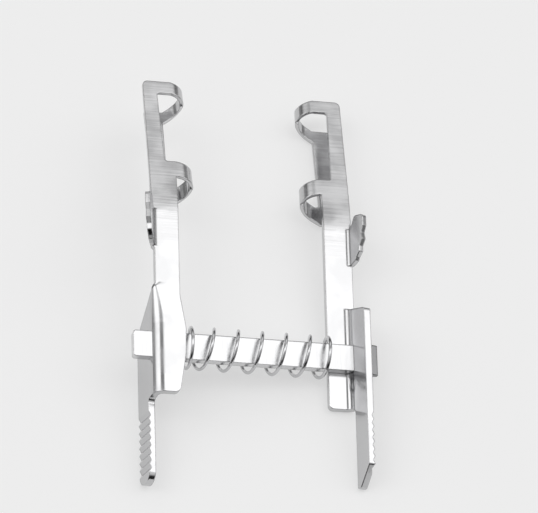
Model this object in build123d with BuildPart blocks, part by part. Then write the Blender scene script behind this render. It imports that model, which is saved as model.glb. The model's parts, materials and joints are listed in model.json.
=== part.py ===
import os
from math import cos, pi, radians, sin, tan

from build123d import *

# Self-retaining eye speculum: a flat crossbar carries two folded sheet arms, a spring on the
# bar pushes them apart, and each arm ends in a lid hook with an open window.
# It is built in the crossbar's own frame and laid down at the end as it rests on a table.
# X runs along the crossbar from the left arm to the right one, Y along the arms from the
# thumb grips to the blades, and Z up towards the surgeon. All lengths are in millimetres.
# On each arm, side is +1 for the left one and -1 for the right one: the way inwards along X.

# Sheet metal
sheet_thickness = 1.0
blade_thickness = 0.55
bend_outer_radius = 2.0
bend_inner_radius = 1.0

# Crossbar
bar_width = 4.0
bar_thickness = 1.2
bar_left_end = -18.8
bar_right_end = 17.2
bar_corner = 0.4
stop_height = 0.3
stop_length = 0.8
peened_length = 1.25
peened_drop = 0.3

# Fits
slot_clearance = 0.05
slide_clearance = 0.05
spring_end_gap = 0.1

# Arms
left_outer_x = -16.0
right_outer_x = 14.2
arm_low_end = -7.6
left_waist = 0.35
left_strap_width = 3.95
left_shoulder_width = 4.75
left_low_width = 3.7
left_low_corner = 0.9
right_strap_width = 4.1
right_low_corner = 0.7
shoulder_high = 2.6
shoulder_low = -1.2
shoulder_start = 7.5
shoulder_blend = 4.0
bend_y = 23.4
bend_half = 3.2
blade_angle = 11.8
blade_tip = 43.6

# Lid hooks
strip_root_width = 2.4
strip_tip_width = 2.0
tip_corner = 0.8
hook_radius = 2.15
hook_root_reach = 6.8
hook_tip_reach = 6.3
hook_overrun = 1.0
rail_inner = 3.55
rail_outer = 1.3
upper_strap_width = 2.0
lower_strap_width = 2.6
strap_slant = 2.8
apex_slant = 0.6
window_corner = 0.5

# Thumb grips
flange_depth = 6.1
flange_flare = 10.4
left_flange_top = 8.8
left_flange_full = 2.9
left_flange_corner = 5.0
right_flange_top = 8.4
right_flange_full = 6.4
right_flange_corner = 0.6
left_grip_recess = 2.5
right_grip_recess = 2.1
grip_end = -20.4
notch_run = 0.4
notch_radius = 0.8
left_grip_rounding = 0.47
right_grip_corner = 0.4
right_grip_slope = 2.6
right_grip_nose = 0.9
serration_count = 8
serration_pitch = 1.15
serration_depth = 0.3
serration_start = -18.9

# Suture cleats
cleat_low = 15.0
cleat_high = 20.8
cleat_rise = 3.2
cleat_head = 22.5
cleat_head_corner = 0.5
cleat_chin = 1.3
cleat_thickness = 0.7
cleat_flare = 24.0
cleat_bend_radius = 0.8
cleat_teeth = 4
tooth_depth = 0.4

# Spring
spring_outer_radius = 3.2
spring_wire = 0.5
spring_open_turns = 5.5
spring_left_closed_turns = 0.75
spring_right_closed_turns = 0.61
spring_end_angle = -17.0
spring_steps = 20
spring_wire_sides = 12

# Sizes worked out from the ones above
bar_top = bar_thickness / 2
left_plate_top = bar_top + sheet_thickness
right_plate_top = -bar_top - slide_clearance
hook_depth = 2 * hook_radius
slope = radians(blade_angle)
flare = radians(flange_flare)
left_grip_round = left_grip_rounding * (flange_depth - left_grip_recess)
blade_root = bend_y + bend_half
blade_end = blade_tip - blade_root
window_start = lower_strap_width
window_end = blade_end - upper_strap_width
bend_start = hook_tip_reach - hook_radius
hook_beyond = hook_root_reach + hook_overrun
hook_taper = (hook_tip_reach - hook_root_reach) / blade_end
spare = hook_depth
along_blade = Vector(0, cos(slope), -sin(slope))
down_blade = Vector(0, -sin(slope), -cos(slope))


def outer_edge(side):
    """X of an arm's outer edge."""
    return left_outer_x if side > 0 else right_outer_x


def plate_top(side):
    """Z of an arm's upper face beside the crossbar."""
    return left_plate_top if side > 0 else right_plate_top


def blade_origin(side):
    """Outer edge of the blade's upper face, where the arm's bend ends."""
    return Vector(
        outer_edge(side),
        bend_y + bend_half * cos(slope),
        plate_top(side) - bend_half * sin(slope),
    )


def blade_plane(side, depth):
    """Plane of a blade's upper face, or one below it: x runs inwards and y along the blade."""
    return Plane(
        origin=blade_origin(side) + down_blade * depth,
        x_dir=(side, 0, 0),
        z_dir=down_blade * -side,
    )


def hook_plane(side, along):
    """Plane across a hook, square to its apex line: x runs inwards, y down through the sheet."""
    apex_line = (along_blade + Vector(side * hook_taper, 0, 0)).normalized()
    return Plane(
        origin=blade_origin(side) + apex_line * along,
        x_dir=down_blade.cross(apex_line * side),
        z_dir=apex_line * side,
    )


def flange_direction(side):
    """Unit vector from the fold down the outer face of a thumb grip."""
    return Vector(-side * sin(flare), 0, -side * cos(flare))


def flange_origin(side):
    """Corner of the fold: the plate's face that the grip leads away from, at the outer edge."""
    drop = 0 if side > 0 else sheet_thickness
    return Vector(outer_edge(side), 0, plate_top(side) - drop)


def flange_plane(side):
    """Plane of a grip's outer face: x along the arm, y away from the fold."""
    return Plane(
        origin=flange_origin(side),
        x_dir=(0, 1, 0),
        z_dir=(-side * cos(flare), 0, side * sin(flare)),
    )


def apex_point(along):
    """Place on the hook's apex line where a strap's edge crosses it: inwards, along."""
    crossing = along - apex_slant
    return (hook_root_reach + hook_taper * crossing, crossing)


def run_on(start, through):
    """Point on the line from start through a second point, just beyond the hook."""
    share = (hook_beyond - start[0]) / (through[0] - start[0])
    return (hook_beyond, start[1] + share * (through[1] - start[1]))


def upper_edge(along):
    """Edge of a strap on the upper sheet: square, then drawn back a little round the bend."""
    turn = (bend_start, along)
    return [(0, along), turn, run_on(turn, apex_point(along))]


def lower_edge(along):
    """The same edge under the sheet: it slants back from the bend to the rail."""
    corner = (rail_inner, along - strap_slant)
    return [(-spare, corner[1]), corner, run_on(corner, apex_point(along))]


def between(start, end):
    """Face between two edges, given as lists of points that run the same way."""
    with BuildSketch(mode=Mode.PRIVATE) as band:
        with BuildLine():
            Polyline(*start, *reversed(end), close=True)
        make_face()
    return band.sketch


def window_face(start, end):
    """Face of the window between two edges, with its two outer corners rounded."""
    with BuildSketch(mode=Mode.PRIVATE) as window:
        add(between(start, end))
        fillet(window.vertices().sort_by_distance(start[0])[0], window_corner)
        fillet(window.vertices().sort_by_distance(end[0])[0], window_corner)
    return window.sketch


def fold_section():
    """Section of the folded sheet: a stub of the plate, the bend and the thumb grip."""
    stub = bend_outer_radius + sheet_thickness
    outer_end = (-flange_depth * sin(flare), flange_depth * cos(flare))
    inner_end = (
        outer_end[0] + sheet_thickness * cos(flare),
        outer_end[1] + sheet_thickness * sin(flare),
    )
    lead = sheet_thickness * (1 - sin(flare)) / cos(flare)
    inner_corner = (
        sheet_thickness * cos(flare) - lead * sin(flare),
        sheet_thickness,
    )
    with BuildSketch(mode=Mode.PRIVATE) as section:
        with BuildLine():
            Polyline(
                (stub, 0),
                (0, 0),
                outer_end,
                inner_end,
                inner_corner,
                (stub, sheet_thickness),
                close=True,
            )
        make_face()
        fillet(section.vertices().sort_by_distance((0, 0))[0], bend_outer_radius)
        fillet(section.vertices().sort_by_distance(inner_corner)[0], bend_inner_radius)
    return section.sketch


def fold_corner():
    """Sliver between the sharp corner of the fold and its rounded bend."""
    half = (pi / 2 + flare) / 2
    run = bend_outer_radius / tan(half)
    with BuildSketch(mode=Mode.PRIVATE) as sliver:
        with BuildLine():
            plate = Line((run, 0), (0, 0))
            grip = Line((0, 0), (-run * sin(flare), run * cos(flare)))
            RadiusArc(grip @ 1, plate @ 0, -bend_outer_radius)
        make_face()
    return sliver.sketch


def grip_outline(side):
    """Flat outline of the folded part: the plate's stub, the shoulder above and the grip."""
    recess = left_grip_recess if side > 0 else right_grip_recess
    top = left_flange_top if side > 0 else right_flange_top
    full = left_flange_full if side > 0 else right_flange_full
    corner = left_flange_corner if side > 0 else right_flange_corner
    stub = -bend_outer_radius - sheet_thickness
    notch_end = arm_low_end - notch_run
    if side > 0:
        low_end = [(grip_end, recess), (grip_end, flange_depth)]
        rounds = [(low_end[0], left_grip_round), (low_end[1], left_grip_round)]
    else:
        nose = (grip_end, recess + right_grip_nose)
        low_end = [(grip_end, recess), nose, (grip_end + right_grip_slope, flange_depth)]
        rounds = [(low_end[0], right_grip_corner), (low_end[2], right_grip_corner)]
    with BuildSketch(mode=Mode.PRIVATE) as outline:
        with BuildLine():
            Polyline(
                (top, stub),
                (arm_low_end, stub),
                (arm_low_end, sheet_thickness),
                (notch_end, recess),
                *low_end,
                (full, flange_depth),
                (top, 0),
                close=True,
            )
        make_face()
        rounds += [((full, flange_depth), corner), ((notch_end, recess), notch_radius)]
        for point, radius in rounds:
            fillet(outline.vertices().sort_by_distance(point)[0], radius)
    return outline.sketch


def serration_section():
    """Row of grooves between the ridges on a thumb grip, as one saw-toothed face."""
    points = [(serration_start, spare)]
    for number in range(serration_count):
        groove = serration_start + number * serration_pitch
        points += [(groove, 0), (groove + serration_pitch / 2, -serration_depth)]
    end = serration_start + serration_count * serration_pitch
    points += [(end, 0), (end, spare)]
    with BuildSketch(mode=Mode.PRIVATE) as section:
        with BuildLine():
            Polyline(*points, close=True)
        make_face()
    return section.sketch


def cleat_section():
    """Section of the ear that a suture is wound on: a stub of the plate, a bend and the ear."""
    lean = radians(cleat_flare)
    stub = cleat_thickness + 2 * cleat_bend_radius
    height = cleat_rise + spare
    low_corner = (0, -cleat_thickness)
    outer_end = (-height * sin(lean), height * cos(lean) - cleat_thickness)
    inner_end = (
        outer_end[0] + cleat_thickness * cos(lean),
        outer_end[1] + cleat_thickness * sin(lean),
    )
    inner_corner = (cleat_thickness * (cos(lean) - (1 - sin(lean)) * tan(lean)), 0)
    with BuildSketch(mode=Mode.PRIVATE) as section:
        with BuildLine():
            Polyline(
                (stub, -cleat_thickness),
                low_corner,
                outer_end,
                inner_end,
                inner_corner,
                (stub, 0),
                close=True,
            )
        make_face()
        fillet(section.vertices().sort_by_distance(inner_corner)[0], cleat_bend_radius)
    return section.sketch


def cleat_outline():
    """Outline of an ear along the arm and up its face: a toothed curve, a blunt head that
    overhangs towards the blade, and the neck below it."""
    crest_end = cleat_high - tooth_depth
    run = crest_end - cleat_low
    points = [(cleat_low, -spare), (cleat_low, 0)]
    for step in range(1, 2 * cleat_teeth + 1):
        turn = pi / 2 * step / (2 * cleat_teeth)
        inset = tooth_depth if step % 2 == 1 else 0
        points.append((crest_end - run * cos(turn), (cleat_rise - inset) * sin(turn)))
    brow = (cleat_head - tooth_depth, cleat_rise)
    chin = (cleat_head, cleat_chin)
    points += [brow, chin, (cleat_high, tooth_depth), (cleat_high, -spare)]
    with BuildSketch(mode=Mode.PRIVATE) as outline:
        with BuildLine():
            Polyline(*points, close=True)
        make_face()
        for corner in (brow, chin):
            fillet(outline.vertices().sort_by_distance(corner)[0], cleat_head_corner)
    return outline.sketch


def build_cleat(side):
    """Suture cleat: an ear bent up from the arm's outer edge and trimmed to its outline."""
    lean = radians(cleat_flare)
    corner = Vector(outer_edge(side), 0, plate_top(side))
    across = Plane(origin=corner + Vector(0, cleat_low, 0), x_dir=(side, 0, 0), z_dir=(0, -side, 0))
    face = Plane(origin=corner, x_dir=(0, 1, 0), z_dir=(cos(lean), 0, side * sin(lean)))
    with BuildPart() as cleat:
        with BuildSketch(across):
            add(cleat_section())
        extrude(amount=-side * (cleat_head - cleat_low))
        with BuildSketch(face):
            add(cleat_outline())
        extrude(amount=2 * spare, both=True, mode=Mode.INTERSECT)
    return cleat.part


def build_hook_trim(side):
    """Solid that the hook is trimmed to: straps, rail and window, above and below mid-depth."""
    strip_at_start = (strip_root_width, window_start)
    strip_at_end = (strip_tip_width, window_end)
    with BuildPart() as trim:
        with BuildSketch(blade_plane(side, hook_radius)):
            add(between(upper_edge(0), upper_edge(blade_end)))
            add(
                window_face(
                    [strip_at_start] + upper_edge(window_start)[1:],
                    [strip_at_end] + upper_edge(window_end)[1:],
                ),
                mode=Mode.SUBTRACT,
            )
        extrude(amount=side * 2 * hook_radius)
        with BuildSketch(blade_plane(side, hook_radius)):
            add(between(lower_edge(0), lower_edge(blade_end)))
            add(
                window_face(lower_edge(window_start)[1:], lower_edge(window_end)[1:]),
                mode=Mode.SUBTRACT,
            )
        extrude(amount=-side * 2 * hook_radius)
    return trim.part


def build_hook(side):
    """Lid hook: the sheet goes round and back under itself, with a window in the bend."""
    trim = build_hook_trim(side)
    flat_end = hook_root_reach - hook_radius
    with BuildPart() as hook:
        with BuildSketch(hook_plane(side, -spare)):
            with BuildLine():
                upper = Line((rail_outer, 0), (flat_end, 0))
                turn = JernArc(upper @ 1, upper % 1, hook_radius, 180)
                lip = Line(turn @ 1, (rail_outer, hook_depth))
                edge = Line(lip @ 1, (rail_outer, hook_depth - blade_thickness))
                inside = Line(edge @ 1, (flat_end, hook_depth - blade_thickness))
                hollow = JernArc(inside @ 1, inside % 1, hook_radius - blade_thickness, -180)
                below = Line(hollow @ 1, (rail_outer, blade_thickness))
                Line(below @ 1, upper @ 0)
            make_face()
        extrude(amount=side * (blade_end + 2 * spare))
        add(trim, mode=Mode.INTERSECT)
    return hook.part


def arm_outline(side):
    """Outline of a flat arm from above, its x inwards from the outer edge."""
    window_y = bend_y + (bend_half + window_start) * cos(slope)
    tip_y = bend_y + (bend_half + blade_end) * cos(slope)
    blade_width = left_strap_width if side > 0 else right_strap_width
    outer = [(0, tip_y), (0, cleat_low)]
    if side > 0:
        outer += [
            (left_waist, cleat_low - left_waist),
            (left_waist, left_flange_top + left_waist),
            (0, left_flange_top),
            (0, arm_low_end),
        ]
        inner = [
            (left_low_width, arm_low_end),
            (left_shoulder_width, shoulder_low),
            (left_shoulder_width, shoulder_high),
            (left_strap_width, shoulder_start),
        ]
        corner = left_low_corner
        blends = inner[1:]
    else:
        outer += [(0, arm_low_end)]
        inner = [(right_strap_width, arm_low_end)]
        corner = right_low_corner
        blends = []
    blade = [
        (blade_width, window_y),
        (strip_root_width, window_y),
        (strip_tip_width, tip_y),
    ]
    with BuildSketch(mode=Mode.PRIVATE) as outline:
        with BuildLine():
            Polyline(*outer, *inner, *blade, close=True)
        make_face()
        fillet(outline.vertices().sort_by_distance(inner[0])[0], corner)
        fillet(outline.vertices().sort_by_distance(outer[0])[0], tip_corner)
        for point in blends:
            fillet(outline.vertices().sort_by_distance(point)[0], shoulder_blend)
    return outline.sketch


def build_arm(side):
    """One folded arm: thumb grip, strap with its bend, lid hook and suture cleat."""
    top = plate_top(side)
    fold_place = Plane(
        origin=flange_origin(side) + Vector(0, grip_end, 0),
        x_dir=(side, 0, 0),
        z_dir=(0, 1, 0),
    )
    grip_face = flange_plane(side)
    root = blade_origin(side)
    tip = root + along_blade * blade_end
    under_tip = tip + down_blade * blade_thickness
    under_root = root + down_blade * blade_thickness
    clearance = 0 if side > 0 else slot_clearance
    recess = left_grip_recess if side > 0 else right_grip_recess
    width = left_shoulder_width if side > 0 else right_strap_width
    hook = build_hook(side)
    cleat = build_cleat(side)

    with BuildPart() as strap:
        # Side view: flat, bent down once, and thinned towards the blade
        with BuildSketch(Plane.YZ.offset(outer_edge(side))):
            with BuildLine():
                flat = Line((arm_low_end, top), (bend_y - bend_half, top))
                bend = TangentArc(flat @ 1, (root.Y, root.Z), tangent=(1, 0))
                stub = Line(bend @ 1, (tip.Y, tip.Z))
                end = Line(stub @ 1, (under_tip.Y, under_tip.Z))
                back = Line(end @ 1, (under_root.Y, under_root.Z))
                under = (bend_y - bend_half, top - sheet_thickness)
                taper = Spline(back @ 1, under, tangents=(-along_blade_2d(), (-1, 0)))
                low = Line(taper @ 1, (arm_low_end, top - sheet_thickness))
                Line(low @ 1, flat @ 0)
            make_face()
        extrude(amount=side * width)
        # Trimmed to its outline from above
        with BuildSketch(Plane(origin=(outer_edge(side), 0, 0), x_dir=(side, 0, 0), z_dir=(0, 0, side))):
            add(arm_outline(side))
        extrude(amount=blade_tip, both=True, mode=Mode.INTERSECT)

    with BuildPart() as arm:
        # Thumb grip, folded off the outer edge and trimmed to its outline
        with BuildSketch(fold_place):
            add(fold_section())
        extrude(amount=left_flange_top - grip_end)
        with BuildSketch(grip_face):
            add(grip_outline(side))
        extrude(amount=flange_depth, both=True, mode=Mode.INTERSECT)

        # Strap, without the square corner that the fold's bend replaces
        add(strap.part)
        corner_end = left_flange_top if side > 0 else right_flange_top
        with BuildSketch(fold_place):
            add(fold_corner())
        extrude(amount=corner_end - grip_end, mode=Mode.SUBTRACT)
        add(hook)
        add(cleat)

        # Slot for the crossbar
        with BuildSketch(Plane.YZ.offset(outer_edge(side) - side * flange_depth)):
            Rectangle(bar_width + 2 * clearance, bar_thickness + 2 * clearance)
        extrude(amount=side * (flange_depth + width), mode=Mode.SUBTRACT)

        # Ridges across the outer face of the grip
        ridge_origin = flange_origin(side) + flange_direction(side) * (recess - notch_radius)
        ridge_place = Plane(
            origin=ridge_origin,
            x_dir=(0, 1, 0),
            z_dir=flange_direction(side) * -1,
        )
        with BuildSketch(ridge_place):
            add(serration_section())
        extrude(amount=-(flange_depth + spare), mode=Mode.SUBTRACT)
    return arm


def along_blade_2d():
    """The blade's direction in a YZ sketch."""
    return Vector(cos(slope), -sin(slope))


left_arm = build_arm(1)
left_arm.part.label = "left_arm"

right_arm = build_arm(-1)
right_arm.part.label = "right_arm"

# Flat crossbar, spread at its right end so that the sliding arm can't come off
with BuildPart() as crossbar:
    half_width = bar_width / 2
    stop_start = bar_right_end - stop_length
    with BuildSketch(Plane.XY.offset(-bar_top)):
        with BuildLine():
            Polyline(
                (bar_left_end, -half_width),
                (stop_start - stop_height, -half_width),
                (stop_start, -half_width - stop_height),
                (bar_right_end, -half_width - stop_height),
                (bar_right_end, half_width + stop_height),
                (stop_start, half_width + stop_height),
                (stop_start - stop_height, half_width),
                (bar_left_end, half_width),
                close=True,
            )
        make_face()
    extrude(amount=bar_thickness)
    left_end = crossbar.faces().sort_by(Axis.X)[0]
    fillet(left_end.edges().filter_by(Axis.Z), bar_corner)

    # The right end is peened thinner after the arm is slid on
    peen_start = bar_right_end - peened_length
    for way in (1, -1):
        with BuildSketch(Plane.XZ.offset(-bar_width)):
            with BuildLine():
                Polyline(
                    (peen_start, way * bar_top),
                    (bar_right_end, way * (bar_top - peened_drop)),
                    (bar_right_end, way * bar_thickness),
                    (peen_start, way * bar_thickness),
                    close=True,
                )
            make_face()
        extrude(amount=2 * bar_width, mode=Mode.SUBTRACT)
crossbar.part.label = "crossbar"

# Spring: a round wire wound left-handed, between the inner edges of the arms, with open
# turns in the middle and a closed turn at each end. It's lofted from section to section.
spring_left = left_outer_x + left_shoulder_width + spring_end_gap + spring_wire / 2
spring_right = right_outer_x - right_strap_width - spring_end_gap - spring_wire / 2
coil_radius = spring_outer_radius - spring_wire / 2
closed_turns = spring_left_closed_turns + spring_right_closed_turns
open_pitch = (spring_right - spring_left - closed_turns * spring_wire) / spring_open_turns
spring_turns = closed_turns + spring_open_turns


def spring_place(turn):
    """Centre of the wire after a number of turns: closed, then open, then closed again."""
    opened = min(max(turn - spring_left_closed_turns, 0), spring_open_turns)
    advance = spring_wire * (turn - opened) + open_pitch * opened
    angle = radians(spring_end_angle) + 2 * pi * (spring_turns - turn)
    return (spring_left + advance, coil_radius * cos(angle), coil_radius * sin(angle))


def spring_section(turn):
    """Plane across the wire after a number of turns, its x away from the coil's axis."""
    place = Vector(spring_place(turn))
    half_step = 1 / (2 * spring_steps)
    onwards = Vector(spring_place(turn + half_step)) - Vector(spring_place(turn - half_step))
    return Plane(origin=place, x_dir=(0, place.Y, place.Z), z_dir=onwards)


with BuildPart() as spring:
    steps = round(spring_turns * spring_steps)
    for step in range(steps + 1):
        with BuildSketch(spring_section(spring_turns * step / steps)):
            RegularPolygon(spring_wire / 2, spring_wire_sides)
    loft(ruled=True)
spring.part.label = "spring"

# The three places that touch the table: the right blade's lip and the ends of both grips
lip_along = blade_end - strap_slant
lip_point = (
    blade_origin(-1)
    + along_blade * lip_along
    + down_blade * hook_depth
    - Vector(rail_outer + hook_taper * lip_along, 0, 0)
)
left_point = (
    flange_origin(1)
    + flange_direction(1) * flange_depth
    + Vector(cos(flare), 0, -sin(flare)) * sheet_thickness
    + Vector(0, grip_end + left_grip_round, 0)
)
right_point = (
    flange_origin(-1)
    + flange_direction(-1) * right_grip_recess
    + Vector(0, grip_end + right_grip_corner, 0)
)
table_normal = (right_point - left_point).cross(lip_point - left_point).normalized()
table_x = (Vector(1, 0, 0) - table_normal * table_normal.X).normalized()
table = Plane(origin=left_point, x_dir=table_x, z_dir=table_normal)

# Lay the whole instrument on the table, centred over the origin
bodies = (left_arm, right_arm, crossbar, spring)
for body in bodies:
    body.part.move(table.location.inverse())
extent = Compound([body.part for body in bodies]).bounding_box()
middle = extent.center()
for body in bodies:
    body.part.move(Location((-middle.X, -middle.Y, -extent.min.Z)))


def laid(point):
    """Place of a point of the crossbar's frame once the instrument lies on the table."""
    return table.to_local_coords(Vector(point)) - Vector(middle.X, middle.Y, extent.min.Z)


print("crossbar centre", laid((0, 0, 0)))
print("crossbar direction", laid((1, 0, 0)) - laid((0, 0, 0)))
print("overall size", extent.size)

os.makedirs("parts", exist_ok=True)
export_step(left_arm.part, "parts/left_arm.step")
export_step(right_arm.part, "parts/right_arm.step")
export_step(crossbar.part, "parts/crossbar.step")
export_step(spring.part, "parts/spring.step")
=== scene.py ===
# %% [markdown]
# A self-retaining eye speculum: a small stainless instrument that holds the eyelids apart.
# Two folded sheet arms sit on a flat crossbar. The left one is fixed, the right one slides,
# and a coil spring on the bar pushes them apart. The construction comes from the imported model,
# which is loaded first and never changed. This script gives every piece its finish, wraps a
# real spring round the bar, fills the start of the left fold, and sets the floor, the light
# and the camera.
# Blender works in metres here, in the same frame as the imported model.

# %% Load the frame
import json
from math import cos, pi, radians, sin

import bpy
import numpy as np
from mathutils import Matrix, Vector


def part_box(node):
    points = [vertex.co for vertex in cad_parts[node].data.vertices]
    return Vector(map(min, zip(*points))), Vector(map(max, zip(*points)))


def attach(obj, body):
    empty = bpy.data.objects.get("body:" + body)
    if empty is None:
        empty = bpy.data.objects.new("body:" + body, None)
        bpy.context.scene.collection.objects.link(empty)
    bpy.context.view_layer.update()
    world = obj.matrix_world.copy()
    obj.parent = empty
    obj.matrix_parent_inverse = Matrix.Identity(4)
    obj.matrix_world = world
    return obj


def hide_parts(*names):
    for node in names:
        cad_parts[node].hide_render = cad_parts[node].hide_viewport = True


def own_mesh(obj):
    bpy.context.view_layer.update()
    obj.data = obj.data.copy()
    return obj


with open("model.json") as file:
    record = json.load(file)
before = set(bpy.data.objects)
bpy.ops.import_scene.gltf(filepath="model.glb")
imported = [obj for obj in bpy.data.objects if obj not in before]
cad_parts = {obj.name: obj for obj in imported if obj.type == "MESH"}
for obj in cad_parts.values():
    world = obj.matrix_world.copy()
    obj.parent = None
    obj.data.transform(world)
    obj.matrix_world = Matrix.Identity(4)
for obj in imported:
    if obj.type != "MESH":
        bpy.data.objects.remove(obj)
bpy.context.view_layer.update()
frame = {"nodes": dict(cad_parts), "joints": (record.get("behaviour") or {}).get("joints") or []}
MM = 0.001

# %% [markdown]
# Everything on the speculum is placed along its crossbar, and the crossbar lies tilted,
# because the instrument rests on its right blade and its left grip. Its directions can be
# typed in as angles, or read from the frame. Reading them keeps this script right when the
# construction changes: the slide joint gives the direction along the bar, and the largest
# flat face of the bar gives the direction up from it.

# %% Directions of the crossbar
joint = frame["joints"][0]
along_bar = Vector(joint["axis"]).normalized()


def largest_face_normal(node):
    """Normal of the flat direction that holds the most area: the sum of face areas whose
    normals agree to within a hundredth is largest for it."""
    mesh = frame["nodes"][node].data
    normals = np.zeros(len(mesh.polygons) * 3)
    areas = np.zeros(len(mesh.polygons))
    mesh.polygons.foreach_get("normal", normals)
    mesh.polygons.foreach_get("area", areas)
    normals = normals.reshape(-1, 3)
    agree = normals @ normals.T > 0.99
    best = normals[np.argmax(agree @ areas)]
    return Vector(best if best[2] > 0 else -best)


up_from_bar = largest_face_normal("crossbar")
across_bar = up_from_bar.cross(along_bar).normalized()
up_from_bar = along_bar.cross(across_bar).normalized()


def extent(node, direction):
    """Least and greatest place of a node's vertices along a direction."""
    vertices = frame["nodes"][node].data.vertices
    coordinates = np.zeros(len(vertices) * 3)
    vertices.foreach_get("co", coordinates)
    places = coordinates.reshape(-1, 3) @ np.array(direction)
    return places.min(), places.max()


BAR_LEFT_END = -18.8 * MM
bar_centre = (
    along_bar * (extent("crossbar", along_bar)[0] - BAR_LEFT_END)
    + across_bar * (sum(extent("crossbar", across_bar)) / 2)
    + up_from_bar * (sum(extent("crossbar", up_from_bar)) / 2)
)


def from_bar(places):
    """Points given along, across and up from the bar's centre, as points of the scene."""
    axes = np.array([along_bar, across_bar, up_from_bar])
    return np.asarray(places) @ axes + np.array(bar_centre)


print("bar runs along", [round(value, 3) for value in along_bar])
print("its face looks", [round(value, 3) for value in up_from_bar])

# %% [markdown]
# A product picture like this one is taken from far away with a long lens, so that the arms
# hardly converge. The camera is therefore placed by its distance, by the angles at which it
# looks down, and by a small roll, and its lens follows from how large the object appears.

# %% Camera
IMAGE_WIDTH = 538
SENSOR_WIDTH = 36.0
PIXELS_PER_MM = 6.98
CAMERA_DISTANCE = 874.0 * MM
CAMERA_AZIMUTH = radians(-10.45)
CAMERA_ELEVATION = radians(57.38)
CAMERA_ROLL = radians(8.31)
target = Vector((2.14, 0.24, 11.97)) * MM

away = Vector((
    sin(CAMERA_AZIMUTH) * cos(CAMERA_ELEVATION),
    -cos(CAMERA_AZIMUTH) * cos(CAMERA_ELEVATION),
    sin(CAMERA_ELEVATION),
))
camera_data = bpy.data.cameras.new("camera")
camera_data.sensor_width = SENSOR_WIDTH
camera_data.lens = SENSOR_WIDTH * PIXELS_PER_MM * (CAMERA_DISTANCE / MM) / IMAGE_WIDTH
camera_data.clip_start = 0.01
camera_data.clip_end = 10
camera = bpy.data.objects.new("camera", camera_data)
bpy.context.scene.collection.objects.link(camera)
level = (-away).to_track_quat("-Z", "Y").to_matrix()
camera.matrix_world = (
    Matrix.Translation(target + away * CAMERA_DISTANCE)
    @ (level @ Matrix.Rotation(CAMERA_ROLL, 3, "Z")).to_4x4()
)
bpy.context.scene.camera = camera
print("lens in mm:", round(camera_data.lens, 1))

# %% [markdown]
# Materials are built from nodes. Three helpers are enough: one turns a colour written in hex,
# as a paint program shows it, into the linear values that Blender calculates with, one adds a
# node with its settings and its links in a single call, and one starts an empty material.
# Where a value changes smoothly over a range, a Map Range node does it, set to a smooth step.

# %% Helpers for materials


def linear(hex_colour):
    """Linear RGBA of an sRGB hex colour: a straight stretch near black and a power above."""
    channels = [int(hex_colour[i:i + 2], 16) / 255 for i in (1, 3, 5)]
    values = [c / 12.92 if c <= 0.04045 else ((c + 0.055) / 1.055) ** 2.4 for c in channels]
    return (*values, 1.0)


def add_node(tree, kind, settings=None, links=None):
    """Adds a node to a tree. Settings name its properties, or its inputs by name or number.
    Links give, for an input, the output socket that feeds it."""
    node = tree.nodes.new(kind)
    for name, value in (settings or {}).items():
        if isinstance(name, str) and hasattr(node, name):
            setattr(node, name, value)
        else:
            node.inputs[name].default_value = value
    for name, socket in (links or {}).items():
        tree.links.new(socket, node.inputs[name])
    return node


def new_material(name):
    """An empty node material, its tree and its output node."""
    material = bpy.data.materials.new(name)
    material.use_nodes = True
    material.node_tree.nodes.clear()
    output = add_node(material.node_tree, "ShaderNodeOutputMaterial")
    return material, material.node_tree, output


SMOOTH = {"interpolation_type": "SMOOTHSTEP"}
print("the grey #b4b4b5 in linear values:", [round(v, 3) for v in linear("#b4b4b5")])

# %% [markdown]
# The arms are stainless sheet. Their blades are thinned on a fine belt that runs across them,
# and the rest of each arm is polished smooth. So the tone of the steel follows the uneven
# grinding where a face looks up and the belt has been, and is a fixed one on the polished tops.
# Faces that turn to the side get a fixed, darker tone, which is painted shade. Painting masks by
# hand would do it too, but a mask that is worked out from the direction of the face and the
# place along the arm fits both arms at once.

# %% Tone of the steel
GRIND_FADE = 11.0 * MM
POLISHED_TONE = 0.74
# A darker, fixed tone for faces that turn to the side: painted shade
SIDE_SHADE_TONE = 0.4
# Middle part of a noise's range, which holds nearly all of its values
NOISE_RANGE = {"From Min": 0.35, "From Max": 0.65}


def steel_tone(tree, along, worn, upper, ground_from):
    """Tone of the steel, and how much of the grooves shows, both from 0 to 1. The worn noise
    sets the tone of upper faces, and the sides have a fixed, darker one, which is painted shade.
    Before ground_from the steel is polished: there the tone is fixed too, and the grooves are gone."""
    surface = add_node(tree, "ShaderNodeMapRange", {**SMOOTH, **NOISE_RANGE},
                       {"Value": worn}).outputs["Result"]
    grooved = upper
    if ground_from is not None:
        ground = add_node(tree, "ShaderNodeMapRange",
                          {**SMOOTH, "From Min": ground_from, "From Max": ground_from + GRIND_FADE},
                          {"Value": along}).outputs["Result"]
        surface = add_node(tree, "ShaderNodeMix", {"data_type": "FLOAT", 2: POLISHED_TONE},
                           {"Factor": ground, 3: surface}).outputs[0]
        grooved = add_node(tree, "ShaderNodeMath", {"operation": "MULTIPLY"},
                           {0: upper, 1: ground}).outputs["Value"]
    # Faces that turn to the side take that fixed, darker tone: painted shade.
    tone = add_node(tree, "ShaderNodeMix", {"data_type": "FLOAT", 2: SIDE_SHADE_TONE},
                    {"Factor": upper, 3: surface}).outputs[0]
    return tone, grooved


# %% [markdown]
# A ground surface is a metal with a low to middling roughness, and the belt leaves fine
# parallel lines on the blades. The lines could be drawn as colour alone, but they are really
# tiny grooves: here a noise that is stretched across the blade changes the tone a little and
# tips the surface through a Bump node. The lines fade out towards the straps, and where a
# face turns to the side, because the belt doesn't reach there.
# The real grooves are a few hundredths of a millimetre apart. That is finer than a pixel, so
# they are drawn about a quarter of a millimetre apart. Tumbling has rounded every edge of the
# sheet, and a Bevel node shades the edges as if they were round.

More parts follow.
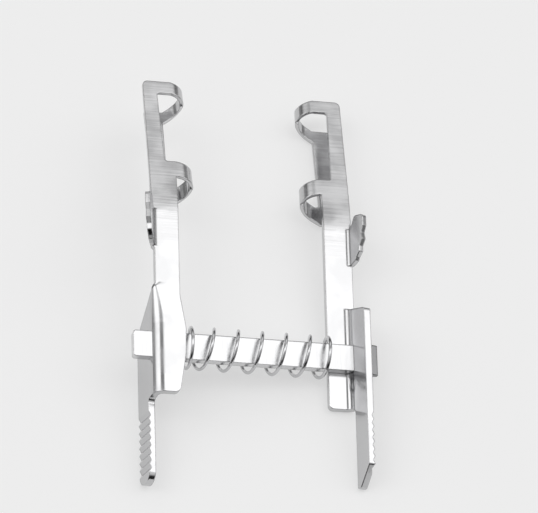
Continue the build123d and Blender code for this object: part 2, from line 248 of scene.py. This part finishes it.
# %% Ground stainless steel
GRIND_SPACING = 0.25 * MM
GRIND_LENGTH = 9.0 * MM
PATCH_SIZE = 4.0 * MM
PATCH_SHARE = 0.6
EDGE_RADIUS = 0.25 * MM
# Darker grey painted on the end of the bar: painted shade
END_SHADE_GREY = "#868687"
# Height of a face's normal where it turns from a side into an upper face
TURNS_UP = {"From Min": 0.6, "From Max": 0.85}
# The Bump node's strength on polished and on ground steel
GROOVE_STRENGTH = {"To Min": 0.03, "To Max": 0.22}


def ground_steel(name, colours, rough, groove_depth, turn=0.0, ground_from=None, shaded_end_from=None):
    """Ground stainless: stretched noise for the grooves and soft noise for uneven grinding.
    The colour runs between the two colours with both, and the roughness between its two
    values with the uneven patches. Past a place along X the colour turns to a darker grey,
    which is painted shade."""
    material, tree, output = new_material(name)
    coordinates = add_node(tree, "ShaderNodeTexCoord").outputs["Object"]
    place = add_node(tree, "ShaderNodeSeparateXYZ", links={"Vector": coordinates})
    turned = add_node(tree, "ShaderNodeMapping", {"Rotation": (0.0, 0.0, turn)},
                      {"Vector": coordinates})
    stretch = (1 / GRIND_LENGTH, 1 / GRIND_SPACING, 1 / GRIND_LENGTH)
    lines_place = add_node(tree, "ShaderNodeMapping", {"Scale": stretch},
                           {"Vector": turned.outputs["Vector"]})
    lines = add_node(tree, "ShaderNodeTexNoise", {"Scale": 1.0, "Detail": 4.0, "Roughness": 0.6},
                     {"Vector": lines_place.outputs["Vector"]}).outputs["Fac"]
    patches = add_node(tree, "ShaderNodeTexNoise",
                       {"Scale": 1 / PATCH_SIZE, "Detail": 2.0, "Roughness": 0.5},
                       {"Vector": coordinates}).outputs["Fac"]
    worn = add_node(tree, "ShaderNodeMix", {"data_type": "FLOAT", "Factor": PATCH_SHARE},
                    {2: lines, 3: patches}).outputs[0]
    facing = add_node(tree, "ShaderNodeNewGeometry")
    normal = add_node(tree, "ShaderNodeSeparateXYZ", links={"Vector": facing.outputs["Normal"]})
    upper = add_node(tree, "ShaderNodeMapRange", {**SMOOTH, **TURNS_UP},
                     {"Value": normal.outputs["Z"]}).outputs["Result"]
    tone, grooved = steel_tone(tree, place.outputs["Y"], worn, upper, ground_from)
    colour = add_node(tree, "ShaderNodeMix",
                      {"data_type": "RGBA", 6: linear(colours[0]), 7: linear(colours[1])},
                      {"Factor": tone}).outputs[2]
    # Past that place along X the colour turns to a darker grey: painted shade on the end of the
    # bar.
    if shaded_end_from is not None:
        end_shade = add_node(tree, "ShaderNodeMapRange",
                            {**SMOOTH, "From Min": shaded_end_from, "From Max": shaded_end_from + EDGE_RADIUS},
                            {"Value": place.outputs["X"]})
        colour = add_node(tree, "ShaderNodeMix", {"data_type": "RGBA", 7: linear(END_SHADE_GREY)},
                          {"Factor": end_shade.outputs["Result"], 6: colour}).outputs[2]
    roughness = add_node(tree, "ShaderNodeMapRange",
                         {**SMOOTH, **NOISE_RANGE, "To Min": rough[0], "To Max": rough[1]},
                         {"Value": patches})
    strength = add_node(tree, "ShaderNodeMapRange", {**SMOOTH, **GROOVE_STRENGTH},
                        {"Value": grooved})
    edges = add_node(tree, "ShaderNodeBevel", {"samples": 8, "Radius": EDGE_RADIUS})
    grooves = add_node(tree, "ShaderNodeBump", {"Distance": groove_depth},
                       {"Height": lines, "Normal": edges.outputs["Normal"],
                        "Strength": strength.outputs["Result"]})
    steel = add_node(tree, "ShaderNodeBsdfPrincipled", {"Metallic": 1.0},
                     {"Base Color": colour, "Roughness": roughness.outputs["Result"],
                      "Normal": grooves.outputs["Normal"]})
    tree.links.new(steel.outputs["BSDF"], output.inputs["Surface"])
    return material


# %% [markdown]
# Both steels come from the same function. All pieces are ground across their length. On the
# arms the grinding starts on the straps and is full on the blades. The bar lies across the
# arms, so its lines are turned by a quarter turn. It has a finer finish than they have, and
# its right end is hammered over to stop the arm. That end is painted a darker grey, which is
# painted shade. One steel for all would be simpler, but the bar is plainly brighter than the sheet.

# %% Steel of the arms and the bar
GROUND_FROM = 1.5 * MM
# The end of the bar past this place is painted a darker grey, as painted shade
SHADED_END_LENGTH = 1.25 * MM
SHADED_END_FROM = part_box("crossbar")[1].x - SHADED_END_LENGTH
arm_steel = ground_steel("satin_ground_stainless_sheet", ("#b4b4b5", "#dadadb"), (0.14, 0.24),
                         groove_depth=0.02 * MM, ground_from=GROUND_FROM)
bar_steel = ground_steel("fine_ground_stainless_bar", ("#cececf", "#dcdcdd"), (0.18, 0.27),
                         groove_depth=0.01 * MM, turn=radians(90), shaded_end_from=SHADED_END_FROM)
print("materials:", arm_steel.name, bar_steel.name)

# %% [markdown]
# The spring is hard-drawn stainless wire. Drawing through a die leaves it smoother than a
# ground sheet, with faint lines along the wire, so it mirrors its surroundings more sharply:
# bright above, black where it faces the dark front of the studio.

# %% Drawn spring wire
WIRE_COLOURS = ("#b0b0b2", "#dcdcdd")
WIRE_ROUGHNESS = {"To Min": 0.07, "To Max": 0.15}
DRAWN_LINE = 0.12 * MM
DRAWN_STRENGTH = 0.15
# One uneven patch for about every three millimetres of wire
PATCHES_ALONG_WIRE = 40.0
# One drawn line for every quarter of a millimetre round the wire
LINES_ROUND_WIRE = 6.0


def drawn_wire(name):
    """Polished drawn wire: low roughness, with noise that follows the wire's own UV map."""
    material, tree, output = new_material(name)
    place = add_node(tree, "ShaderNodeUVMap", {"uv_map": "wire"})
    spread = add_node(tree, "ShaderNodeMapping",
                      {"Scale": (PATCHES_ALONG_WIRE, LINES_ROUND_WIRE, 1.0)},
                      {"Vector": place.outputs["UV"]})
    lines = add_node(tree, "ShaderNodeTexNoise", {"Scale": 1.0, "Detail": 3.0},
                     {"Vector": spread.outputs["Vector"]}).outputs["Fac"]
    roughness = add_node(tree, "ShaderNodeMapRange", WIRE_ROUGHNESS, {"Value": lines})
    darker, lighter = (linear(colour) for colour in WIRE_COLOURS)
    colour = add_node(tree, "ShaderNodeMix", {"data_type": "RGBA", 6: darker, 7: lighter},
                      {"Factor": lines})
    bump = add_node(tree, "ShaderNodeBump",
                    {"Strength": DRAWN_STRENGTH, "Distance": DRAWN_LINE}, {"Height": lines})
    steel = add_node(tree, "ShaderNodeBsdfPrincipled", {"Metallic": 1.0},
                     {"Base Color": colour.outputs[2], "Roughness": roughness.outputs["Result"],
                      "Normal": bump.outputs["Normal"]})
    tree.links.new(steel.outputs["BSDF"], output.inputs["Surface"])
    return material


wire_steel = drawn_wire("drawn_stainless_spring_wire")
print("material:", wire_steel.name)

# %% [markdown]
# The arms and the bar keep the shapes that came with the frame. Each comes with a plain grey
# material, so all they need is a better one in its place. Their meshes are left alone.

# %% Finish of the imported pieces


def finish_node(name, material):
    """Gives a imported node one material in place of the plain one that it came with."""
    slots = frame["nodes"][name].data.materials
    slots.clear()
    slots.append(material)


finish_node("left_arm", arm_steel)
finish_node("right_arm", arm_steel)
finish_node("crossbar", bar_steel)
print("finished:", [name for name in frame["nodes"] if name != "spring"])

# %% [markdown]
# The spring is one wire, wound left-handed round the bar. Its open turns are about three and
# a half millimetres apart, and at each end it closes: there the wire advances by no more than
# its own thickness in a turn, so it lies flat against the arm that it pushes. A Screw modifier
# would give every turn the same advance, so a short table gives it here, in millimetres a
# turn, from closed to open and back.

# %% Advance of the wire
TURNS = 6.86
PITCH_TURNS = [0.0, 0.62, 0.95, 5.7, 6.3, 6.65, TURNS]
PITCH_VALUES = [0.5, 0.5, 3.6, 3.5, 3.3, 0.55, 0.5]
SUM_STEPS = 4000


def advance(turn):
    """Place along the bar, from 0 to 1, after a number of turns: the advance per turn is read
    from the table, straight between its entries, and added up."""
    fine = np.linspace(0, TURNS, SUM_STEPS)
    pitch = np.interp(fine, PITCH_TURNS, PITCH_VALUES)
    place = np.concatenate([[0], np.cumsum((pitch[1:] + pitch[:-1]) / 2)])
    return np.interp(turn, fine, place / place[-1])


print("share of the length after one turn:", round(float(advance(1.0)), 3))

# %% [markdown]
# A curve object with a bevel could draw the wire, but a numpy surface says exactly where it
# is: a circle is carried along a path. Each circle stands square to the path, and its first
# point looks away from the bar, so the circles don't twist against each other.

# %% Surface of a wire


def tube(path, radius, ring_steps):
    """Surface of a round wire: at each point of the path, a circle square to it. The circle's
    first direction points away from the bar's centre line. Its two ends are left open."""
    tangent = np.gradient(path, axis=0)
    tangent /= np.linalg.norm(tangent, axis=1, keepdims=True)
    axis = np.array(along_bar)
    outward = path - np.array(bar_centre) - np.outer((path - np.array(bar_centre)) @ axis, axis)
    outward -= tangent * np.sum(outward * tangent, axis=1, keepdims=True)
    outward /= np.linalg.norm(outward, axis=1, keepdims=True)
    sideways = np.cross(tangent, outward)
    turn = np.linspace(0, 2 * pi, ring_steps, endpoint=False)
    rings = (path[:, None] + radius * (np.cos(turn)[None, :, None] * outward[:, None]
                                       + np.sin(turn)[None, :, None] * sideways[:, None]))
    count = len(path)
    near = np.arange(ring_steps)
    far = (near + 1) % ring_steps
    row = np.arange(count - 1)[:, None] * ring_steps
    quads = np.stack([row + near, row + far, row + far + ring_steps, row + near + ring_steps],
                     axis=-1).reshape(-1, 4)
    return rings.reshape(-1, 3), quads


# %% [markdown]
# Arrays become an object in one function, so every new piece is made the same way. Its faces
# could also be built one by one with bmesh, but whole arrays are quicker and shorter.

# %% Mesh from arrays


def mesh_object(name, points, quads, material, caps=()):
    """A mesh object from arrays of points and quads. The quads are shaded smooth, and the
    caps, which are flat faces with many corners, are not."""
    mesh = bpy.data.meshes.new(name)
    mesh.from_pydata(points.tolist(), [], [*quads.tolist(), *caps])
    smooth = np.arange(len(mesh.polygons)) < len(quads)
    mesh.polygons.foreach_set("use_smooth", smooth)
    mesh.validate()
    mesh.update()
    mesh.materials.append(material)
    thing = bpy.data.objects.new(name, mesh)
    bpy.context.scene.collection.objects.link(thing)
    return thing


# %% [markdown]
# The wire stands for the imported spring, which has few sides, so it has the same axis, radius,
# thickness and ends. Its UV map says how far a point is along the wire and round it, which the
# drawn lines follow. The spring is attached to the fixed arm.

# %% Spring
WIRE = 0.5 * MM
COIL_RADIUS = 2.95 * MM
SPRING_START = -10.9 * MM
SPRING_END = 9.75 * MM
END_ANGLE = radians(-17)
STEPS_PER_TURN = 96
RING_STEPS = 20
turns = np.linspace(0, TURNS, int(TURNS * STEPS_PER_TURN))
angle = END_ANGLE + 2 * pi * (TURNS - turns)
along = SPRING_START + (SPRING_END - SPRING_START) * advance(turns)
path = from_bar(np.stack([along, COIL_RADIUS * np.cos(angle), COIL_RADIUS * np.sin(angle)], axis=1))
points, quads = tube(path, WIRE / 2, RING_STEPS)
first_ring = tuple(range(RING_STEPS))
last_ring = tuple(range(len(points) - RING_STEPS, len(points)))
spring = mesh_object("spring_coil", points, quads, wire_steel, (first_ring[::-1], last_ring))
uv = spring.data.uv_layers.new(name="wire")
corners = np.zeros(len(spring.data.loops), int)
spring.data.loops.foreach_get("vertex_index", corners)
length_share = (corners // RING_STEPS) / len(path)
round_share = (corners % RING_STEPS) / RING_STEPS
uv.data.foreach_set("uv", np.stack([length_share, round_share], axis=1).ravel())
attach(spring, "fixed_arm")
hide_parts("spring")
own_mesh(spring)

# %% [markdown]
# The left grip is folded down off the arm's edge, and the fold doesn't start at once: over a
# few millimetres its radius grows from the sharp edge of the sheet to its full size, so the
# line where the bend begins runs in a slow S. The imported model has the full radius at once.
# A filler over the bend makes the change: for each place along the arm, the outer surface of
# a bend with the radius there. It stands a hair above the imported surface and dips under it
# wherever it ends, so no seam shows.

# %% Section of the fold
# Places along, across and up from the bar's centre, as from_bar takes them
SHEET_TOP = 1.6 * MM
LEFT_EDGE = -16.0 * MM
FLARE = radians(10.4)
FOLD_RADIUS = 2.0 * MM
GRIP_TOP = 8.8 * MM
GRIP_TOP_SLOPE = 6.1 / 5.9
DIP = 0.03 * MM
TUCK = 0.5 * MM
ARC_POINTS = 20


def fold_profile(place, radius, lift):
    """Section of the bend at a place along the arm: a tuck under the plate, the arc from the
    plate's direction to the grip's, and a tuck under the grip. Lift raises it off the bend's
    own surface, and below nought it sinks it. Nothing passes the sloping end of the grip."""
    turn = np.linspace(0, pi / 2 - FLARE, ARC_POINTS)
    run = radius * np.tan((pi / 2 - FLARE) / 2)
    full_run = FOLD_RADIUS * np.tan((pi / 2 - FLARE) / 2)
    centre = np.array([run, -radius])
    arc = centre + (radius + lift) * np.stack([-np.sin(turn), np.cos(turn)], axis=1)
    grip = np.array([-sin(FLARE), -cos(FLARE)])
    plate_end = np.array([[full_run + TUCK, lift - DIP], [full_run, lift]])
    outward = np.array([-cos(FLARE), sin(FLARE)])
    grip_end = np.array([grip * full_run + outward * lift,
                         grip * (full_run + TUCK) + outward * (lift - DIP)])
    section = np.concatenate([plate_end, arc, grip_end])
    over = np.maximum(section @ grip - max(GRIP_TOP - place, 0) * GRIP_TOP_SLOPE, 0)
    section = section - over[:, None] * grip
    section[:, 0] += max(place - GRIP_TOP, 0)
    return np.column_stack([LEFT_EDGE + section[:, 0], np.full(len(section), place),
                            SHEET_TOP + section[:, 1]])


# %% [markdown]
# The sections stand side by side along the fold. The outer skin has the growing radius, and a
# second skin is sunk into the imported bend, so that the filler is a closed, solid shape. One
# strip of quads round the rim joins the two.

# %% Skin of the fold
FOLD_START = 9.9 * MM
FOLD_END = 2.2 * MM
FOLD_FULL = 3.0 * MM
LEAST_RADIUS = 0.35 * MM
GROWTH_POWER = 1.3
LIFT_PLACES = np.array([2.2, 3.6, 8.9, 9.9]) * MM
LIFT_VALUES = np.array([-0.02, 0.008, 0.015, -0.02]) * MM
SUNK = -0.2 * MM
SECTIONS = 78


def fold_filler():
    """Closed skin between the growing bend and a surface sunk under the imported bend. Its
    radius grows along the fold with a power of the sine of a quarter turn."""
    places = np.linspace(FOLD_END, FOLD_START, SECTIONS)
    share = np.clip((FOLD_START - places) / (FOLD_START - FOLD_FULL), 0, 1)
    radii = LEAST_RADIUS + (FOLD_RADIUS - LEAST_RADIUS) * np.sin(pi / 2 * share) ** GROWTH_POWER
    lifts = np.interp(places, LIFT_PLACES, LIFT_VALUES)
    outer = np.array([fold_profile(*row) for row in zip(places, radii, lifts)])
    inner = np.array([fold_profile(place, FOLD_RADIUS, SUNK) for place in places])
    rows, columns = outer.shape[:2]
    points = from_bar(np.concatenate([outer.reshape(-1, 3), inner.reshape(-1, 3)]))
    row, column = np.meshgrid(np.arange(rows - 1), np.arange(columns - 1), indexing="ij")
    start = (row * columns + column).ravel()
    skin = np.stack([start, start + 1, start + columns + 1, start + columns], axis=1)
    below = skin[:, ::-1] + rows * columns
    rim_a = np.concatenate([
        np.arange(columns),
        np.arange(1, rows) * columns + columns - 1,
        (rows - 1) * columns + np.arange(columns - 2, -1, -1),
        np.arange(rows - 2, 0, -1) * columns,
    ])
    rim_b = np.roll(rim_a, -1)
    walls = np.stack([rim_b, rim_a, rim_a + rows * columns, rim_b + rows * columns], axis=1)
    return points, np.concatenate([skin, below, walls])


# %% [markdown]
# The filler is part of the left arm, so it has the arm's steel and moves with it. Its edges
# are shaded sharp where two faces meet at more than 35 degrees, and the bend stays smooth.

# %% Start of the left fold
SHARP_ANGLE = radians(35)
filler_points, filler_quads = fold_filler()
filler = mesh_object("left_fold_start", filler_points, filler_quads, arm_steel)
filler.data.set_sharp_from_angle(angle=SHARP_ANGLE)
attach(filler, "fixed_arm")
filler_box = np.stack([filler_points.min(axis=0), filler_points.max(axis=0)]) / MM
print("fold filler box in mm:", filler_box.round(2).tolist())

# %% [markdown]
# The instrument lies on a pale, matt table that fills the picture. Lit by the room alone, so
# pale a table would need more light than the steel can take, and the shadow under the arms
# would be dark, while in the photo it hardly shows. So the table also glows by itself, as a
# light table does, and the shadow stays pale.

# %% Floor
FLOOR_HALF = 600 * MM
BACKGROUND = "#ececec"
TABLE_GREY = "#b4b4b4"
TABLE_GLOW = 0.59
floor_corners = [(-FLOOR_HALF, -FLOOR_HALF, 0), (FLOOR_HALF, -FLOOR_HALF, 0),
                 (FLOOR_HALF, FLOOR_HALF, 0), (-FLOOR_HALF, FLOOR_HALF, 0)]
floor_mesh = bpy.data.meshes.new("floor")
floor_mesh.from_pydata(floor_corners, [], [(0, 1, 2, 3)])
floor = bpy.data.objects.new("floor", floor_mesh)
bpy.context.scene.collection.objects.link(floor)
floor_material, tree, output = new_material("matt_light_table")
matt = add_node(tree, "ShaderNodeBsdfDiffuse", {"Color": linear(TABLE_GREY)})
glow = add_node(tree, "ShaderNodeEmission",
                {"Color": linear(BACKGROUND), "Strength": TABLE_GLOW})
table = add_node(tree, "ShaderNodeAddShader",
                 links={0: matt.outputs["BSDF"], 1: glow.outputs["Emission"]})
tree.links.new(table.outputs["Shader"], output.inputs["Surface"])
floor_mesh.materials.append(floor_material)
print("floor:", floor_material.name, "half width in mm:", round(FLOOR_HALF / MM))

# %% [markdown]
# Polished metal shows the room around it, so the room decides how the steel looks. The photo
# tells what the room is like: a white ceiling of lamps with a dark gap between two of them, a
# grey far wall, grey side walls, and a dark side behind the camera. The walls and lamps could
# be built as glowing planes. Here one world shader makes them all from the direction of a
# ray, which is quicker to adjust and gives soft edges at once. A direction has three parts:
# east, north and up, each from -1 to 1. North points along the arms, away from the camera,
# and sideways is east or west, whichever it is.

# %% Directions of the room
world = bpy.data.worlds.new("studio")
bpy.context.scene.world = world
world.use_nodes = True
tree = world.node_tree
tree.nodes.clear()
direction = add_node(tree, "ShaderNodeTexCoord")
parts = add_node(tree, "ShaderNodeSeparateXYZ", links={"Vector": direction.outputs["Generated"]})
sideways = add_node(tree, "ShaderNodeMath", {"operation": "ABSOLUTE"}, {0: parts.outputs["X"]})
room = {"east": parts.outputs["X"], "north": parts.outputs["Y"], "up": parts.outputs["Z"],
        "sideways": sideways.outputs["Value"]}
print("parts of a direction:", list(room))

# %% [markdown]
# The first table has smooth changes of the light along one part of the direction, and the
# second joins them: it takes the larger of two lights, or their product where both have to
# agree. The room is dark just above the table, except at its side walls. Two dim lights high
# in the near corners keep the outer faces from turning black when the speculum is seen from
# the side or from behind.

# %% Walls, ceiling and lamps
# Name, part of the direction, where the change starts and ends, light before and after it
CHANGES = [
    ("side walls", "sideways", 0.62, 0.76, 0.0, 0.36),
    ("end of the ceiling", "north", 0.28, 0.42, 1.0, 0.44),
    ("lit far wall", "north", 0.48, 0.66, 0.0, 0.58),
    ("dark near wall", "north", -0.06, -0.26, 1.0, 0.03),
    ("near corners", "sideways", 0.15, 0.35, 0.0, 1.0),
    ("near height", "up", 0.4, 0.65, 0.0, 0.45),
    ("height", "up", 0.25, 0.6, 0.05, 1.0),
    ("west of the gap", "east", -0.42, -0.3, 0.0, 1.0),
    ("east of the gap", "east", 0.16, 0.04, 0.0, 1.0),
    ("height of the gap", "up", 0.7, 0.85, 0.0, 1.0),
    ("start of the gap", "north", 0.1, 0.2, 0.0, 0.85),
]
# Name, operation, and the two lights that it joins
JOINED = [
    ("far wall", "MAXIMUM", "end of the ceiling", "lit far wall"),
    ("near ceiling", "MULTIPLY", "near corners", "near height"),
    ("near lights", "MAXIMUM", "dark near wall", "near ceiling"),
    ("near side", "MAXIMUM", "near lights", "side walls"),
    ("horizon", "MAXIMUM", "height", "side walls"),
    ("gap width", "MULTIPLY", "west of the gap", "east of the gap"),
    ("gap length", "MULTIPLY", "height of the gap", "start of the gap"),
    ("gap", "MULTIPLY", "gap width", "gap length"),
    ("walls", "MULTIPLY", "far wall", "near side"),
    ("walls and ceiling", "MULTIPLY", "walls", "horizon"),
]
for name, part, start, end, before, after in CHANGES:
    room[name] = add_node(tree, "ShaderNodeMapRange",
                          {**SMOOTH, "From Min": start, "From Max": end,
                           "To Min": before, "To Max": after},
                          {"Value": room[part]}).outputs["Result"]
for name, operation, first, second in JOINED:
    room[name] = add_node(tree, "ShaderNodeMath", {"operation": operation},
                          {0: room[first], 1: room[second]}).outputs["Value"]
print("smooth changes:", len(CHANGES), "joined:", len(JOINED))

# %% [markdown]
# The gap darkens what it covers. One level then sets the brightness of the whole room, and it
# is low enough that the palest steel doesn't clip to white. The camera doesn't see the room
# but a plain background in the tone of the table.

# %% World
LIGHT_LEVEL = 1.75
WHITE = (1, 1, 1, 1)
beside_gap = add_node(tree, "ShaderNodeMath", {"operation": "SUBTRACT", 0: 1.0},
                      {1: room["gap"]})
light = add_node(tree, "ShaderNodeMath", {"operation": "MULTIPLY"},
                 {0: room["walls and ceiling"], 1: beside_gap.outputs["Value"]})
strength = add_node(tree, "ShaderNodeMath", {"operation": "MULTIPLY", 1: LIGHT_LEVEL},
                    {0: light.outputs["Value"]})
studio = add_node(tree, "ShaderNodeBackground", {"Color": WHITE},
                  {"Strength": strength.outputs["Value"]})
backdrop = add_node(tree, "ShaderNodeBackground", {"Color": linear(BACKGROUND), "Strength": 1.0})
ray = add_node(tree, "ShaderNodeLightPath")
seen = add_node(tree, "ShaderNodeMixShader", links={
    0: ray.outputs["Is Camera Ray"], 1: studio.outputs["Background"],
    2: backdrop.outputs["Background"]})
add_node(tree, "ShaderNodeOutputWorld", links={"Surface": seen.outputs["Shader"]})
print("world:", world.name, "nodes:", len(tree.nodes))

# %% [markdown]
# The Standard view shows each tone as the sRGB value that was asked for. Blender's own
# default bends the bright tones, and the pale background would turn darker.

# %% View settings
bpy.context.scene.view_settings.view_transform = "Standard"
print("view:", bpy.context.scene.view_settings.view_transform)
